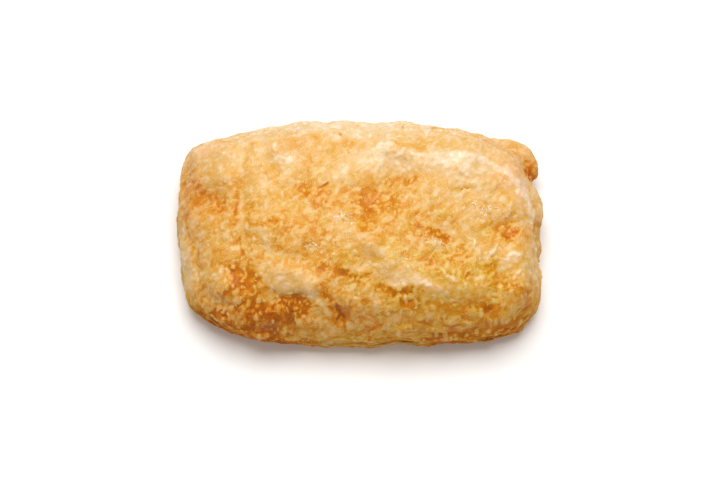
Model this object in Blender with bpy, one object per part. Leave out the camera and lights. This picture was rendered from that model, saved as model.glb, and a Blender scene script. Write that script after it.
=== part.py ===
"""Salmon en croute: a baked puff pastry parcel, egg glazed, with one fold of dough showing at a corner.

The whole parcel is one closed solid. Its length runs along X, its front wall faces -Y and it rests on
the plane z = 0. A grid makes the top panel, its rim is extruded down ring by ring to make the walls,
and every point is then moved by the relief that baking gives: swells, dents, layers and blisters.
"""

import bisect
import functools
import math
import random

import bmesh
import bpy
from mathutils import Vector, kdtree, noise

MM = 0.001

# Driving sizes of the parcel
LENGTH = 160 * MM
WIDTH = 99 * MM
HEIGHT = 44 * MM
EDGE_HEIGHT = 36 * MM  # height the crown falls to at the outline
WIDEST_HEIGHT = 10 * MM  # height of the ring where the walls stand out furthest
FOOT_INSET = 5.5 * MM  # how far the foot is drawn in under that ring

# How wide the rounding between top and wall is on each side, seen from above
ROUNDING = {"left": 25 * MM, "right": 15 * MM, "front": 22 * MM, "back": 17 * MM}
RIM_SHARE = 0.30  # share of the rounding that lies on the walls, outside the top panel
CORNER_DROOP = 3.0  # lower makes the top sink more towards the corners

# Outline of the widest ring, seen from above, counter-clockwise from the right end: x, y
OUTLINE_MM = [
    (79.2, 4),
    (78.4, 12),
    (74.2, 21.5),
    (71, 30.5),
    (62, 37.5),
    (46, 43),
    (28, 46.5),
    (2, 47.6),
    (-25, 48),
    (-45, 44.8),
    (-63, 41.5),
    (-73.5, 38),
    (-78.3, 30),
    (-80, 15),
    (-80, -5),
    (-78.5, -20),
    (-74, -32),
    (-65.5, -39.7),
    (-49, -45.5),
    (-22, -48.5),
    (14, -50),
    (42, -49.3),
    (61.5, -47),
    (71.7, -40.6),
    (77, -30),
    (78.3, -12),
]

# Mesh density
TOP_COLUMNS = 56
TOP_ROWS = 34
UPPER_RINGS = 12
LOWER_RINGS = 5

# Swells and dents that show on the top panel: x, y, half length, half width, turn in degrees, rise
SWELLS_MM = [
    (8, 10, 13, 6.5, 43, -2.4),  # valley behind the middle
    (20, 15, 12, 6, 10, -1.3),  # its arm towards the right end
    (-35, 33, 26, 6, 4, 1.0),  # back ridge, left half
    (31, 25.5, 25, 6, -8, 2.0),  # back ridge, right half
    (-66, 10, 10, 6.5, -20, -2.3),  # hollow in the left end
    (-51, -1, 2.8, 18, 2, -1.6),  # crease where the left end folds down
    (-35, -4, 16, 7, -20, 1.4),  # low puff beside the crease
    (-29, -23.5, 11, 4.5, -16, 2.5),  # puff above the front left slope
    (-48, -25, 9, 6, -40, -1.9),  # pool at the front left
    (-29, -34.5, 13, 4, -2, -2.3),  # pool below the puff
    (-9, -36, 5, 8, 10, -1.7),  # gully down the front wall
    (9, -14.5, 20, 5.5, -38, 2.0),  # long ridge that crosses the middle
    (35, -24, 12, 4, -28, 1.5),  # low ridge beside its lower end
    (28, -33, 24, 3.5, -6, -1.8),  # groove under both ridges
    (40, -10, 20, 5.5, -42, -1.6),  # valley right of the long ridge
    (62.5, -4, 7, 5, 20, -2.2),  # dent near the right end
    (66, -15, 7, 6, 40, 2.0),  # puff beside it
    (57.5, -26, 5, 8, -20, -1.3),  # dent before the front right corner
    (65, -34, 6, 8, 25, 1.7),  # pillow of the front right corner
]

# Notches and lobes of the walls: x, y, radius, how far they stand out
LOBES_MM = [
    (80, 8, 9, 1.0),
    (79, -3, 6, -1.0),
    (79, -8, 3.5, 0.8),
    (79, -14, 4, -2.6),
    (79, -22, 6, 1.0),
    (-78, 36, 6, 1.2),
    (-80, -8, 9, 0.8),
    (-74, -33, 7, 1.2),
    (-42, 46, 8, -0.6),
    (16, 49, 9, 1.0),
    (31, 47, 5, -0.8),
]

# Layers of the dough, which show as ledges round the walls
LAYER_PITCH = 4.2 * MM
LAYER_DEPTH = 0.75 * MM
LAYER_WANDER = 5.0 * MM  # how far a ledge rises and falls on its way round
LAYER_WANDER_SIZE = 22 * MM
LAYER_PATCH_SIZE = 15 * MM  # the ledges are strong in patches of this size and faint between them
SEAM_HEIGHT = 13 * MM  # the top sheet's edge is pressed on to the bottom one here
SEAM_WANDER = 3 * MM
SEAM_DEPTH = 1.3 * MM
SEAM_SPREAD = 1.5 * MM
WALL_SLOPE = (0.25, 0.75)  # upward part of the normal at which the wall turns into the top
SWELLS_ON_WALL = 0.4  # share of the top's swells that is left on the walls
BASE_CLEARANCE = 0.4 * MM  # nothing but the flat base comes lower than this

# Uneven rise of the dough: size of the lumps and how far they stand out
UNEVENNESS = [(30 * MM, 1.3 * MM), (12 * MM, 1.0 * MM), (6.5 * MM, 0.7 * MM)]

# Blisters large enough to be felt
BLISTER_COUNT = 150
BLISTER_RADIUS = (2.4 * MM, 5.2 * MM)
BLISTER_RISE = 0.24  # height over radius
BLISTER_SEED = 11

# The fold of dough that stands out behind the right corner: centre line x, y, z and radius
FOLD_LINE_MM = [
    (50, 35, 16, 3.5),
    (58, 36.4, 16.5, 5.0),
    (64.8, 35.4, 16, 5.8),
    (70.4, 32.4, 15, 6.0),
    (73.4, 28.4, 14, 5.0),
    (74.2, 25.0, 13, 3.6),
    (74, 22.4, 12.5, 1.8),
]
FOLD_SIDES = 16
FOLD_FLATTENING = 1.25  # height over width of its section
FOLD_LUMP = 5 * MM
FOLD_UNEVENNESS = 0.8 * MM

CRUST_COLOUR = (0.80, 0.47, 0.17, 1.0)
CRUST_ROUGHNESS = 0.48


def side_insets(share):
    """Distance from the outline on each side, at this share of the rounding."""
    return {side: width * share for side, width in ROUNDING.items()}


@functools.cache
def outline_knots():
    """The outline's points as (direction, distance from the middle), in order of direction."""
    return sorted((math.atan2(y, x), math.hypot(x, y) * MM) for x, y in OUTLINE_MM)


def outline_reach(angle):
    """Distance from the middle to the outline in this direction, on a smooth line through its points."""
    knots = outline_knots()
    before = bisect.bisect_right(knots, (angle, math.inf)) - 1
    near = []
    for place in range(before - 1, before + 3):
        turns, index = divmod(place, len(knots))
        near.append((knots[index][0] + turns * 2 * math.pi, knots[index][1]))
    (angle_0, reach_0), (angle_1, reach_1), (angle_2, reach_2), (angle_3, reach_3) = near
    width = angle_2 - angle_1
    slope_1 = (reach_2 - reach_0) / (angle_2 - angle_0) * width
    slope_2 = (reach_3 - reach_1) / (angle_3 - angle_1) * width
    part = (angle - angle_1) / width
    bend = reach_1 - reach_2
    return (
        reach_1
        + slope_1 * part
        - (3 * bend + 2 * slope_1 + slope_2) * part**2
        + (2 * bend + slope_1 + slope_2) * part**3
    )


def corner_pull(u, v):
    """Factor that draws the rim place (u, v) of the parcel's box in to its outline."""
    x = u * LENGTH / 2
    y = v * WIDTH / 2
    return outline_reach(math.atan2(y, x)) / math.hypot(x, y)


def place_in_plan(u, v, insets):
    """(x, y) of the place (u, v), from -1 to 1 each way, in the outline drawn in by the insets."""
    low_x = -LENGTH / 2 + insets["left"]
    high_x = LENGTH / 2 - insets["right"]
    low_y = -WIDTH / 2 + insets["front"]
    high_y = WIDTH / 2 - insets["back"]
    return (
        (low_x + high_x) / 2 + u * (high_x - low_x) / 2,
        (low_y + high_y) / 2 + v * (high_y - low_y) / 2,
    )


def rise(share):
    """How much of the full height is reached at this share of the rounding, as on a quarter circle."""
    return math.sqrt(1 - (1 - min(share, 1)) ** 2)


def top_share(u, v):
    """Share of the rounding passed at (u, v) on the top panel, rounded off where two sides meet."""
    x, y = place_in_plan(u, v, side_insets(RIM_SHARE))
    shares = (
        (x + LENGTH / 2) / ROUNDING["left"],
        (LENGTH / 2 - x) / ROUNDING["right"],
        (y + WIDTH / 2) / ROUNDING["front"],
        (WIDTH / 2 - y) / ROUNDING["back"],
    )
    return sum(share**-CORNER_DROOP for share in shares) ** (-1 / CORNER_DROOP)


def crown_height(x, y):
    """Height of the top with its edges left square, highest over the middle."""
    level = (1 - (2 * x / LENGTH) ** 2) * (1 - (2 * y / WIDTH) ** 2)
    return EDGE_HEIGHT + (HEIGHT - EDGE_HEIGHT) * max(level, 0)


def top_point(u, v):
    """A point of the smooth top panel."""
    reach = max(abs(u), abs(v))
    pull = 1
    if reach > 0:
        pull += (corner_pull(u / reach, v / reach) - 1) * reach**2
    x, y = place_in_plan(u * pull, v * pull, side_insets(RIM_SHARE))
    height = crown_height(x, y) - WIDEST_HEIGHT
    return Vector((x, y, WIDEST_HEIGHT + height * rise(top_share(u, v))))


def wall_point(u, v, ring):
    """A point of the smooth wall. Ring 0 is the top panel's rim and the last ring is the foot."""
    pull = corner_pull(u, v)
    if ring <= UPPER_RINGS:
        rim_angle = math.acos(1 - RIM_SHARE)
        angle = rim_angle * (1 - ring / UPPER_RINGS)
        x, y = place_in_plan(u * pull, v * pull, side_insets(1 - math.cos(angle)))
        rim = top_point(u, v).z - WIDEST_HEIGHT
        return Vector((x, y, WIDEST_HEIGHT + rim * math.sin(angle) / math.sin(rim_angle)))
    angle = math.pi / 2 * (ring - UPPER_RINGS) / LOWER_RINGS
    inset = FOOT_INSET * (1 - math.cos(angle))
    x, y = place_in_plan(u * pull, v * pull, dict.fromkeys(ROUNDING, inset))
    return Vector((x, y, WIDEST_HEIGHT * (1 - math.sin(angle))))


def swell_offset(point):
    """Rise of the top's named swells and dents at this point."""
    total = 0
    for x, y, half_length, half_width, turn, height in SWELLS_MM:
        away_x = point.x / MM - x
        away_y = point.y / MM - y
        turned = math.radians(turn)
        along = (away_x * math.cos(turned) + away_y * math.sin(turned)) / half_length
        across = (away_y * math.cos(turned) - away_x * math.sin(turned)) / half_width
        total += height * MM * math.exp(-(along**2) - across**2)
    return total


def lobe_offset(point):
    """How far the outline's named lobes and notches stand out at this point."""
    total = 0
    for x, y, radius, out in LOBES_MM:
        distance = math.hypot(point.x / MM - x, point.y / MM - y)
        total += out * MM * math.exp(-((distance / radius) ** 2))
    return total


def layer_offset(point):
    """Ledges of the dough's layers, and the seam where the top sheet meets the bottom one."""
    wander = noise.noise(point / LAYER_WANDER_SIZE)
    phase = (point.z + wander * LAYER_WANDER) / LAYER_PITCH
    strength = 0.5 + 0.5 * noise.noise(Vector((7, 3, 5)) + point / LAYER_PATCH_SIZE)
    ledge = math.sin(2 * math.pi * phase) * LAYER_DEPTH * strength
    from_seam = (point.z - SEAM_HEIGHT - wander * SEAM_WANDER) / SEAM_SPREAD
    return ledge - SEAM_DEPTH * (0.4 + strength) * math.exp(-(from_seam**2))


def uneven_offset(point):
    """Lumps of the dough's uneven rise."""
    return sum(noise.noise(point / size) * out for size, out in UNEVENNESS)


def smooth_step(low, high, value):
    """0 below low, 1 above high, with a soft change between."""
    share = min(max((value - low) / (high - low), 0), 1)
    return share * share * (3 - 2 * share)


def relief(point, normal):
    """How far baking has moved this point of the smooth parcel along its normal."""
    wall = 1 - smooth_step(*WALL_SLOPE, normal.z)
    swell = swell_offset(point) * (1 - wall + wall * SWELLS_ON_WALL)
    ledges = (layer_offset(point) + lobe_offset(point)) * wall
    return swell + ledges + uneven_offset(point)


def grid_with_walls():
    """A grid whose rim is extruded down ring by ring, and the (u, v, ring) of each of its points."""
    bm = bmesh.new()
    bmesh.ops.create_grid(bm, x_segments=TOP_COLUMNS, y_segments=TOP_ROWS, size=1)
    lattice = {vert: (vert.co.x, vert.co.y, 0) for vert in bm.verts}
    rim = [edge for edge in bm.edges if edge.is_boundary]
    for ring in range(1, UPPER_RINGS + LOWER_RINGS + 1):
        made = bmesh.ops.extrude_edge_only(bm, edges=rim)["geom"]
        rim = [item for item in made if isinstance(item, bmesh.types.BMEdge)]
        for vert in (item for item in made if isinstance(item, bmesh.types.BMVert)):
            lattice[vert] = (vert.co.x, vert.co.y, ring)
    bmesh.ops.holes_fill(bm, edges=rim, sides=0)
    return bm, lattice


def blister_centres(places):
    """Seeded blisters, spread over the parcel: (centre, radius) each."""
    draw = random.Random(BLISTER_SEED)
    ordered = sorted(places, key=lambda place: tuple(round(part / MM, 2) for part in place))
    return [(draw.choice(ordered), draw.uniform(*BLISTER_RADIUS)) for _ in range(BLISTER_COUNT)]


def add_blisters(bm, normals):
    """Raises a low dome round each blister's centre."""
    verts = [vert for vert in bm.verts if vert.co.z > WIDEST_HEIGHT / 2]
    tree = kdtree.KDTree(len(verts))
    for index, vert in enumerate(verts):
        tree.insert(vert.co, index)
    tree.balance()
    lifts = dict.fromkeys(range(len(verts)), 0)
    for centre, radius in blister_centres([vert.co.copy() for vert in verts]):
        for _, index, distance in tree.find_range(centre, radius):
            dome = math.sqrt(1 - (distance / radius) ** 2)
            lifts[index] = max(lifts[index], dome * radius * BLISTER_RISE)
    for index, lift in lifts.items():
        verts[index].co += normals[verts[index]] * lift


def parcel_mesh():
    """The parcel without its fold, standing on z = 0."""
    bm, lattice = grid_with_walls()
    foot_ring = UPPER_RINGS + LOWER_RINGS
    for vert, (u, v, ring) in lattice.items():
        vert.co = wall_point(u, v, ring) if ring else top_point(u, v)
    bmesh.ops.recalc_face_normals(bm, faces=bm.faces)
    bm.normal_update()
    normals = {vert: vert.normal.copy() for vert in bm.verts}
    for vert, (_, _, ring) in lattice.items():
        if ring == foot_ring:
            outward = Vector((normals[vert].x, normals[vert].y, 0)).normalized()
            vert.co += outward * (lobe_offset(vert.co) + uneven_offset(vert.co))
        else:
            vert.co += normals[vert] * relief(vert.co, normals[vert])
            vert.co.z = max(vert.co.z, BASE_CLEARANCE)
    add_blisters(bm, normals)
    return bm


def mesh_object(name, bm):
    """Puts the shape into a new object of the scene."""
    mesh = bpy.data.meshes.new(name)
    bm.to_mesh(mesh)
    bm.free()
    made = bpy.data.objects.new(name, mesh)
    bpy.context.scene.collection.objects.link(made)
    return made


def fold_mesh():
    """The fold, a lumpy tube that narrows towards both ends, swept along its line."""
    bm = bmesh.new()
    centres = [Vector((x, y, z)) * MM for x, y, z, _ in FOLD_LINE_MM]
    radii = [radius * MM for _, _, _, radius in FOLD_LINE_MM]
    rings = []
    for index, (centre, radius) in enumerate(zip(centres, radii)):
        ahead = centres[min(index + 1, len(centres) - 1)] - centres[max(index - 1, 0)]
        across = ahead.cross(Vector((0, 0, 1))).normalized()
        up = across.cross(ahead).normalized()
        ring = []
        for side in range(FOLD_SIDES):
            angle = 2 * math.pi * side / FOLD_SIDES
            reach = across * math.cos(angle) + up * math.sin(angle) * FOLD_FLATTENING
            place = centre + reach * radius
            lump = noise.noise(place / FOLD_LUMP) * FOLD_UNEVENNESS
            ring.append(bm.verts.new(place + reach * lump))
        rings.append(ring)
    for ring, following in zip(rings, rings[1:]):
        for side in range(FOLD_SIDES):
            onward = (side + 1) % FOLD_SIDES
            bm.faces.new((ring[side], ring[onward], following[onward], following[side]))
    bm.faces.new(rings[0])
    bm.faces.new(rings[-1])
    bmesh.ops.recalc_face_normals(bm, faces=bm.faces)
    return bm


def crust_material():
    """Golden baked pastry with a thin egg glaze."""
    material = bpy.data.materials.new("baked_pastry")
    material.use_nodes = True
    shader = material.node_tree.nodes["Principled BSDF"]
    shader.inputs["Base Color"].default_value = CRUST_COLOUR
    shader.inputs["Roughness"].default_value = CRUST_ROUGHNESS
    shader.inputs["Metallic"].default_value = 0
    return material


def fuse(body, other):
    """Joins the other object into the body and removes it."""
    union = body.modifiers.new("fuse", "BOOLEAN")
    union.operation = "UNION"
    union.solver = "EXACT"
    union.object = other
    graph = bpy.context.evaluated_depsgraph_get()
    fused = bpy.data.meshes.new_from_object(body.evaluated_get(graph))
    body.modifiers.remove(union)
    body.data = fused
    bpy.data.objects.remove(other)


def stand_at_origin(body):
    """Moves the mesh so that the middle of its base is the origin."""
    places = [vert.co for vert in body.data.vertices]
    middle_x = (min(place.x for place in places) + max(place.x for place in places)) / 2
    middle_y = (min(place.y for place in places) + max(place.y for place in places)) / 2
    lowest = min(place.z for place in places)
    for vert in body.data.vertices:
        vert.co -= Vector((middle_x, middle_y, lowest))


def main():
    """Makes the parcel with its fold as one solid."""
    for existing in list(bpy.data.objects):
        bpy.data.objects.remove(existing)
    parcel = mesh_object("pastry_parcel", parcel_mesh())
    fuse(parcel, mesh_object("corner_fold", fold_mesh()))
    stand_at_origin(parcel)
    parcel.data.materials.clear()
    parcel.data.materials.append(crust_material())
    parcel.data.shade_smooth()


main()
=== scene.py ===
# Salmon en croute: the glazed crust, the edges of its dough layers and its loose flakes

import math

import bmesh
import bpy
import numpy as np
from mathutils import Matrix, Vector, kdtree, noise
from mathutils.bvhtree import BVHTree


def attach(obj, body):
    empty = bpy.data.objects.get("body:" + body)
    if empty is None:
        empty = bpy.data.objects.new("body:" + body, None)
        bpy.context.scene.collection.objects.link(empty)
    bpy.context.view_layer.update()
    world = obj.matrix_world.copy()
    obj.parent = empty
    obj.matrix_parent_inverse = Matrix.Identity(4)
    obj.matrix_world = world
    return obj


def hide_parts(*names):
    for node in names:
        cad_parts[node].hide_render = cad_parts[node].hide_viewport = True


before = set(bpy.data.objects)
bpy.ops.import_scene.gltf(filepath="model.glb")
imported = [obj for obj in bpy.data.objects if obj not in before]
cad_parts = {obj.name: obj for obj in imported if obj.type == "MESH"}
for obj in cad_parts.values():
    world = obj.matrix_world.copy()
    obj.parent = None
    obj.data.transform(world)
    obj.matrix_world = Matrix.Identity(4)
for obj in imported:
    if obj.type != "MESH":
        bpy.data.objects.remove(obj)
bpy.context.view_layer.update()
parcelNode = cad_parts["pastry_parcel"]
mm = 0.001


# Small helpers

def smoothStep(low, high, value):  # 0 below low, 1 above high
    share = np.clip((value - low) / (high - low), 0, 1)
    return share * share * (3 - 2 * share)


def pointNoise(points, size, shift=0.0):  # soft noise of lumps of this size, roughly -0.7 to 0.7
    places = (points / size + shift).tolist()
    return np.fromiter((noise.noise(place) for place in places), float, len(places))


def noiseSum(points, parts):  # parts are size, shift and swing
    return sum(pointNoise(points, size, shift) * swing for size, shift, swing in parts)


def unit(vectors):
    return vectors / np.maximum(np.linalg.norm(vectors, axis=-1, keepdims=True), 1e-9)


def within(limits, share):  # a share of the way from the first limit to the second
    return limits[0] + share * (limits[1] - limits[0])


def cellChance(cells, salt):  # a fixed random number from 0 to 1 for each cell of space
    mixed = cells @ np.array([73856093, 19349663, 83492791]) + salt * 2654435761
    mixed = (mixed ^ (mixed >> 13)) * 1274126177
    mixed = mixed ^ (mixed >> 16)
    return (mixed & 0xFFFFFF) / 0x1000000


def scatterSpots(points, spacing, salt):  # one point from each cell of space, and the cells
    cells = np.floor(points / spacing).astype(np.int64)
    jitter = np.stack([cellChance(cells, salt + axis) for axis in range(3)], axis=1)
    away = np.linalg.norm(points - (cells + jitter) * spacing, axis=1)
    order = np.lexsort((away, cells[:, 2], cells[:, 1], cells[:, 0]))
    ordered = cells[order]
    first = np.ones(len(order), bool)
    first[1:] = np.any(ordered[1:] != ordered[:-1], axis=1)
    chosen = order[first]
    return chosen, cells[chosen]


def drawn(spots, cells, wanted, salts):  # the wanted spots, each with a random number for every salt
    return zip(spots[wanted], *(cellChance(cells, salt)[wanted] for salt in salts))


def pointTree(points):
    tree = kdtree.KDTree(len(points))
    for index, place in enumerate(points.tolist()):
        tree.insert(place, index)
    tree.balance()
    return tree


def zoneSum(points, zones, column=5):  # adds up soft oval zones, seen from above
    total = np.zeros(len(points))
    for zone in zones:
        x, y, halfLength, halfWidth, turn = zone[:5]
        turned = math.radians(turn)
        awayX = points[:, 0] - x
        awayY = points[:, 1] - y
        along = (awayX * math.cos(turned) + awayY * math.sin(turned)) / halfLength
        across = (awayY * math.cos(turned) - awayX * math.sin(turned)) / halfWidth
        total += zone[column] * np.exp(-(along**2 + across**2))
    return total


def meshArray(items, name, width, kind=np.float32):
    flat = np.empty(len(items) * width, kind)
    items.foreach_get(name, flat)
    return flat.reshape(-1, width)


def meshPoints(mesh):
    return meshArray(mesh.vertices, "co", 3, float) / mm


def setMeshPoints(mesh, points):
    mesh.vertices.foreach_set("co", (points * mm).astype(np.float32).ravel())
    mesh.update()


def meshNormals(mesh):
    return meshArray(mesh.vertex_normals, "vector", 3).astype(float)


def storeFields(mesh, **fields):  # numbers for each point, which the material reads
    for name, values in fields.items():
        field = mesh.attributes.new(name, "FLOAT", "POINT")
        field.data.foreach_set("value", values.astype(np.float32))


def placeObject(name, data):
    piece = bpy.data.objects.new(name, data)
    bpy.context.scene.collection.objects.link(piece)
    return piece


# Helpers and node groups for the materials

def newGroup(name, inputs, outputs):  # inputs with their usual values; the output Color is a colour
    group = bpy.data.node_groups.new(name, "ShaderNodeTree")
    number = "NodeSocketFloat"
    for socketName, value in inputs.items():
        socket = group.interface.new_socket(name=socketName, in_out="INPUT", socket_type=number)
        socket.default_value = value
    for socketName in outputs:
        kind = "NodeSocketColor" if socketName == "Color" else number
        group.interface.new_socket(name=socketName, in_out="OUTPUT", socket_type=kind)
    return group, group.nodes.new("NodeGroupInput"), group.nodes.new("NodeGroupOutput")


def feed(tree, socket, value):  # a fixed value or a link
    if isinstance(value, (int, float)):
        socket.default_value = value
    else:
        tree.links.new(value, socket)


def mathNode(tree, operation, first, second=None, third=None, clamp=False):
    node = tree.nodes.new("ShaderNodeMath")
    node.operation = operation
    node.use_clamp = clamp
    for index, value in enumerate([first, second, third]):
        if value is not None:
            feed(tree, node.inputs[index], value)
    return node.outputs[0]


def times(tree, first, second, plus=None, clamp=False):  # a product, or a product plus a third value
    operation = "MULTIPLY" if plus is None else "MULTIPLY_ADD"
    return mathNode(tree, operation, first, second, plus, clamp)


def spread(tree, value, low, high, newLow=0.0, newHigh=1.0):  # maps low..high to newLow..newHigh
    node = tree.nodes.new("ShaderNodeMapRange")
    node.interpolation_type = "SMOOTHSTEP"
    tree.links.new(value, node.inputs["Value"])
    limits = {"From Min": low, "From Max": high, "To Min": newLow, "To Max": newHigh}
    for name, number in limits.items():
        node.inputs[name].default_value = number
    return node.outputs["Result"]


def noiseNode(tree, place, size, detail=2.0, roughness=0.5):  # size of its lumps in mm
    node = tree.nodes.new("ShaderNodeTexNoise")
    tree.links.new(place, node.inputs["Vector"])
    node.inputs["Scale"].default_value = 1 / (size * mm)
    node.inputs["Detail"].default_value = detail
    node.inputs["Roughness"].default_value = roughness
    return node.outputs[0]


def cellNode(tree, place, size, feature="F1"):  # size of its cells in mm
    node = tree.nodes.new("ShaderNodeTexVoronoi")
    node.feature = feature
    tree.links.new(place, node.inputs["Vector"])
    node.inputs["Scale"].default_value = 1 / (size * mm)
    return node.outputs


def tinted(tree, colour, share, tint):  # a share of the tint laid over the colour
    node = tree.nodes.new("ShaderNodeMix")
    node.data_type = "RGBA"
    node.blend_type = "MULTIPLY"
    tree.links.new(share, node.inputs["Factor"])
    tree.links.new(colour, node.inputs["A"])
    node.inputs["B"].default_value = (*tint, 1)
    return node.outputs["Result"]


bakedColours = {  # how brown it is: colour of the crust there
    0.00: (0.92, 0.835, 0.690),
    0.07: (0.80, 0.650, 0.455),
    0.22: (0.73, 0.505, 0.255),
    0.42: (0.685, 0.410, 0.127),
    0.60: (0.65, 0.320, 0.037),
    0.78: (0.575, 0.198, 0.005),
    0.92: (0.48, 0.135, 0.004),
    1.00: (0.30, 0.082, 0.005),
}
blushTint = (1.0, 0.85, 0.80)  # where the crust is redder, and on slopes to the front as painted warm shade
ochreTint = (0.96, 1.06, 0.82)  # where it is a duller yellow


def bakedColourGroup():
    inputs = {"Browning": 0.45, "Blush": 0.0, "Ochre": 0.0}
    group, given, out = newGroup("bakedColour", inputs, ["Color"])
    ramp = group.nodes.new("ShaderNodeValToRGB")
    stops = ramp.color_ramp.elements
    for index, (place, colour) in enumerate(bakedColours.items()):
        stop = stops[index] if index < 2 else stops.new(place)
        stop.position = place
        stop.color = (*colour, 1)
    group.links.new(given.outputs["Browning"], ramp.inputs[0])
    redder = tinted(group, ramp.outputs["Color"], given.outputs["Blush"], blushTint)
    group.links.new(tinted(group, redder, given.outputs["Ochre"], ochreTint), out.inputs["Color"])
    return group


def objectPlace(tree):
    return tree.nodes.new("ShaderNodeTexCoord").outputs["Object"]


def pushed(tree, place, reach, size):  # pushes a place about by noise, reach and size in mm
    push = tree.nodes.new("ShaderNodeVectorMath")
    push.operation = "MULTIPLY_ADD"
    directions = tree.nodes.new("ShaderNodeTexNoise")
    tree.links.new(place, directions.inputs["Vector"])
    directions.inputs["Scale"].default_value = 1 / (size * mm)
    tree.links.new(directions.outputs["Color"], push.inputs[0])
    push.inputs[1].default_value = (reach * mm,) * 3
    tree.links.new(place, push.inputs[2])
    return push.outputs["Vector"]


def stretched(tree, place, turn, stretch):  # makes what follows longer one way, turn in degrees
    node = tree.nodes.new("ShaderNodeMapping")
    node.vector_type = "TEXTURE"
    tree.links.new(place, node.inputs["Vector"])
    node.inputs["Rotation"].default_value = (0, 0, math.radians(turn))
    node.inputs["Scale"].default_value = stretch
    return node.outputs["Vector"]


grainSizes = {  # mm
    "mottle": 3.2, "creamSheen": 3.0, "fine": 0.5, "pits": 0.8,
    "creases": 6.0, "smallCreases": 3.4, "rings": 4.6,
    "blisters": 3.8, "smallBlisters": 1.8, "tips": 1.15,
}


def doughGrainGroup():
    group, _, out = newGroup("doughGrain", {}, ["Mottle", "CreamSheen", "Fine", "Height"])
    place = objectPlace(group)
    mottle = noiseNode(group, pushed(group, place, 1.6, 2.5), grainSizes["mottle"], 3.0, 0.55)
    fine = noiseNode(group, place, grainSizes["fine"], 1.0, 0.6)
    group.links.new(spread(group, mottle, 0.32, 0.68), out.inputs["Mottle"])
    longer = stretched(group, place, 30, (1.5, 1, 1))
    # pale cream patches: the dough's own pale tone and a painted sheen of the glaze
    creamSheen = noiseNode(group, pushed(group, longer, 1.6, 2.4), grainSizes["creamSheen"], 2.0, 0.5)
    group.links.new(spread(group, creamSheen, 0.49, 0.66), out.inputs["CreamSheen"])
    glintSpecks = spread(group, fine, 0.54, 0.70)  # pale specks, which are painted glints, and a few dark pits
    dark = spread(group, noiseNode(group, place, grainSizes["pits"], 0.0), 0.30, 0.18, 0, 0.6)
    group.links.new(mathNode(group, "SUBTRACT", dark, glintSpecks), out.inputs["Fine"])
    height = times(group, fine, 0.5, times(group, mottle, 0.8))
    group.links.new(height, out.inputs["Height"])
    return group


def thinLines(tree, place, size, width, gaps):  # wandering lines, gaps is how much of them is missing
    noiseValue = noiseNode(tree, place, size, 1.5, 0.5)
    away = mathNode(tree, "ABSOLUTE", mathNode(tree, "SUBTRACT", noiseValue, 0.5))
    line = spread(tree, away, width, 0)
    broken = spread(tree, noiseNode(tree, place, size * 0.7, 1.0), gaps - 0.05, gaps + 0.05)
    return times(tree, line, broken)


def skinVeinsGroup():  # thin raised creases of the glazed skin, in broken strokes and rings
    group, _, out = newGroup("skinVeins", {}, ["Vein"])
    place = objectPlace(group)
    bent = pushed(group, place, 3.0, 5.0)
    along = stretched(group, bent, 38, (1.9, 1, 1))
    along = thinLines(group, along, grainSizes["creases"], 0.055, 0.54)
    small = thinLines(group, pushed(group, place, 1.2, 2.0), grainSizes["smallCreases"], 0.07, 0.58)
    cells = cellNode(group, bent, grainSizes["rings"], "DISTANCE_TO_EDGE")
    ring = spread(group, cells["Distance"], 0.075, 0.02)
    broken = spread(group, noiseNode(group, place, 5.0, 1.0), 0.57, 0.63)
    ring = times(group, ring, broken)
    vein = mathNode(group, "MAXIMUM", mathNode(group, "MAXIMUM", along, small), ring)
    group.links.new(vein, out.inputs["Vein"])
    return group


def blisterLayer(tree, place, size, density, radius):  # round spots in some of the cells of this size
    cells = cellNode(tree, place, size)
    chance = tree.nodes.new("ShaderNodeSeparateColor")
    tree.links.new(cells["Color"], chance.inputs["Color"])
    reach = times(tree, chance.outputs["Red"], radius[1] - radius[0], radius[0])
    share = mathNode(tree, "DIVIDE", cells["Distance"], reach)
    dome = spread(tree, share, 1.0, 0.15)
    chosen = mathNode(tree, "LESS_THAN", chance.outputs["Green"], density)
    return times(tree, dome, chosen)


def fineBlistersGroup():  # small blisters, longer down the slope on the walls, and their shiny tips, which also carry painted glints
    group, given, out = newGroup("fineBlisters", {"Density": 0.4}, ["Cap", "GlintTip"])
    density = given.outputs["Density"]
    place = pushed(group, objectPlace(group), 2.4, 2.2)
    place = stretched(group, place, 0, (1, 1.8, 2.4))
    large = blisterLayer(group, place, grainSizes["blisters"], density, (0.20, 0.48))
    small = blisterLayer(group, place, grainSizes["smallBlisters"], density, (0.20, 0.45))
    small = times(group, small, 0.6)
    group.links.new(mathNode(group, "MAXIMUM", large, small), out.inputs["Cap"])
    fewer = times(group, density, 0.5)
    tips = blisterLayer(group, place, grainSizes["tips"], fewer, (0.10, 0.30))
    patches = spread(group, noiseNode(group, objectPlace(group), 3.0, 2.0), 0.42, 0.56)
    group.links.new(times(group, tips, patches), out.inputs["GlintTip"])
    return group


def layerLinesGroup():  # thin lines between the dough's layers, broken and wavy
    group, given, out = newGroup("layerLines", {"Pitch": 1.25}, ["Line"])
    place = pushed(group, pushed(group, objectPlace(group), 7.0, 16.0), 2.2, 4.5)
    parts = group.nodes.new("ShaderNodeSeparateXYZ")
    group.links.new(place, parts.inputs["Vector"])
    high = times(group, parts.outputs["Z"], 1 / mm)
    swing = mathNode(group, "PINGPONG", mathNode(group, "DIVIDE", high, given.outputs["Pitch"]), 0.5)
    line = spread(group, swing, 0.16, 0.02)
    broken = spread(group, noiseNode(group, objectPlace(group), 4.0, 2.0), 0.42, 0.58)
    group.links.new(times(group, line, broken), out.inputs["Line"])
    return group


bakedColour = bakedColourGroup()
doughGrain = doughGrainGroup()
skinVeins = skinVeinsGroup()
fineBlisters = fineBlistersGroup()
layerLines = layerLinesGroup()


def placeGroup(tree, group, **values):
    node = tree.nodes.new("ShaderNodeGroup")
    node.node_tree = group
    for name, value in values.items():
        feed(tree, node.inputs[name], value)
    return node


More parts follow.
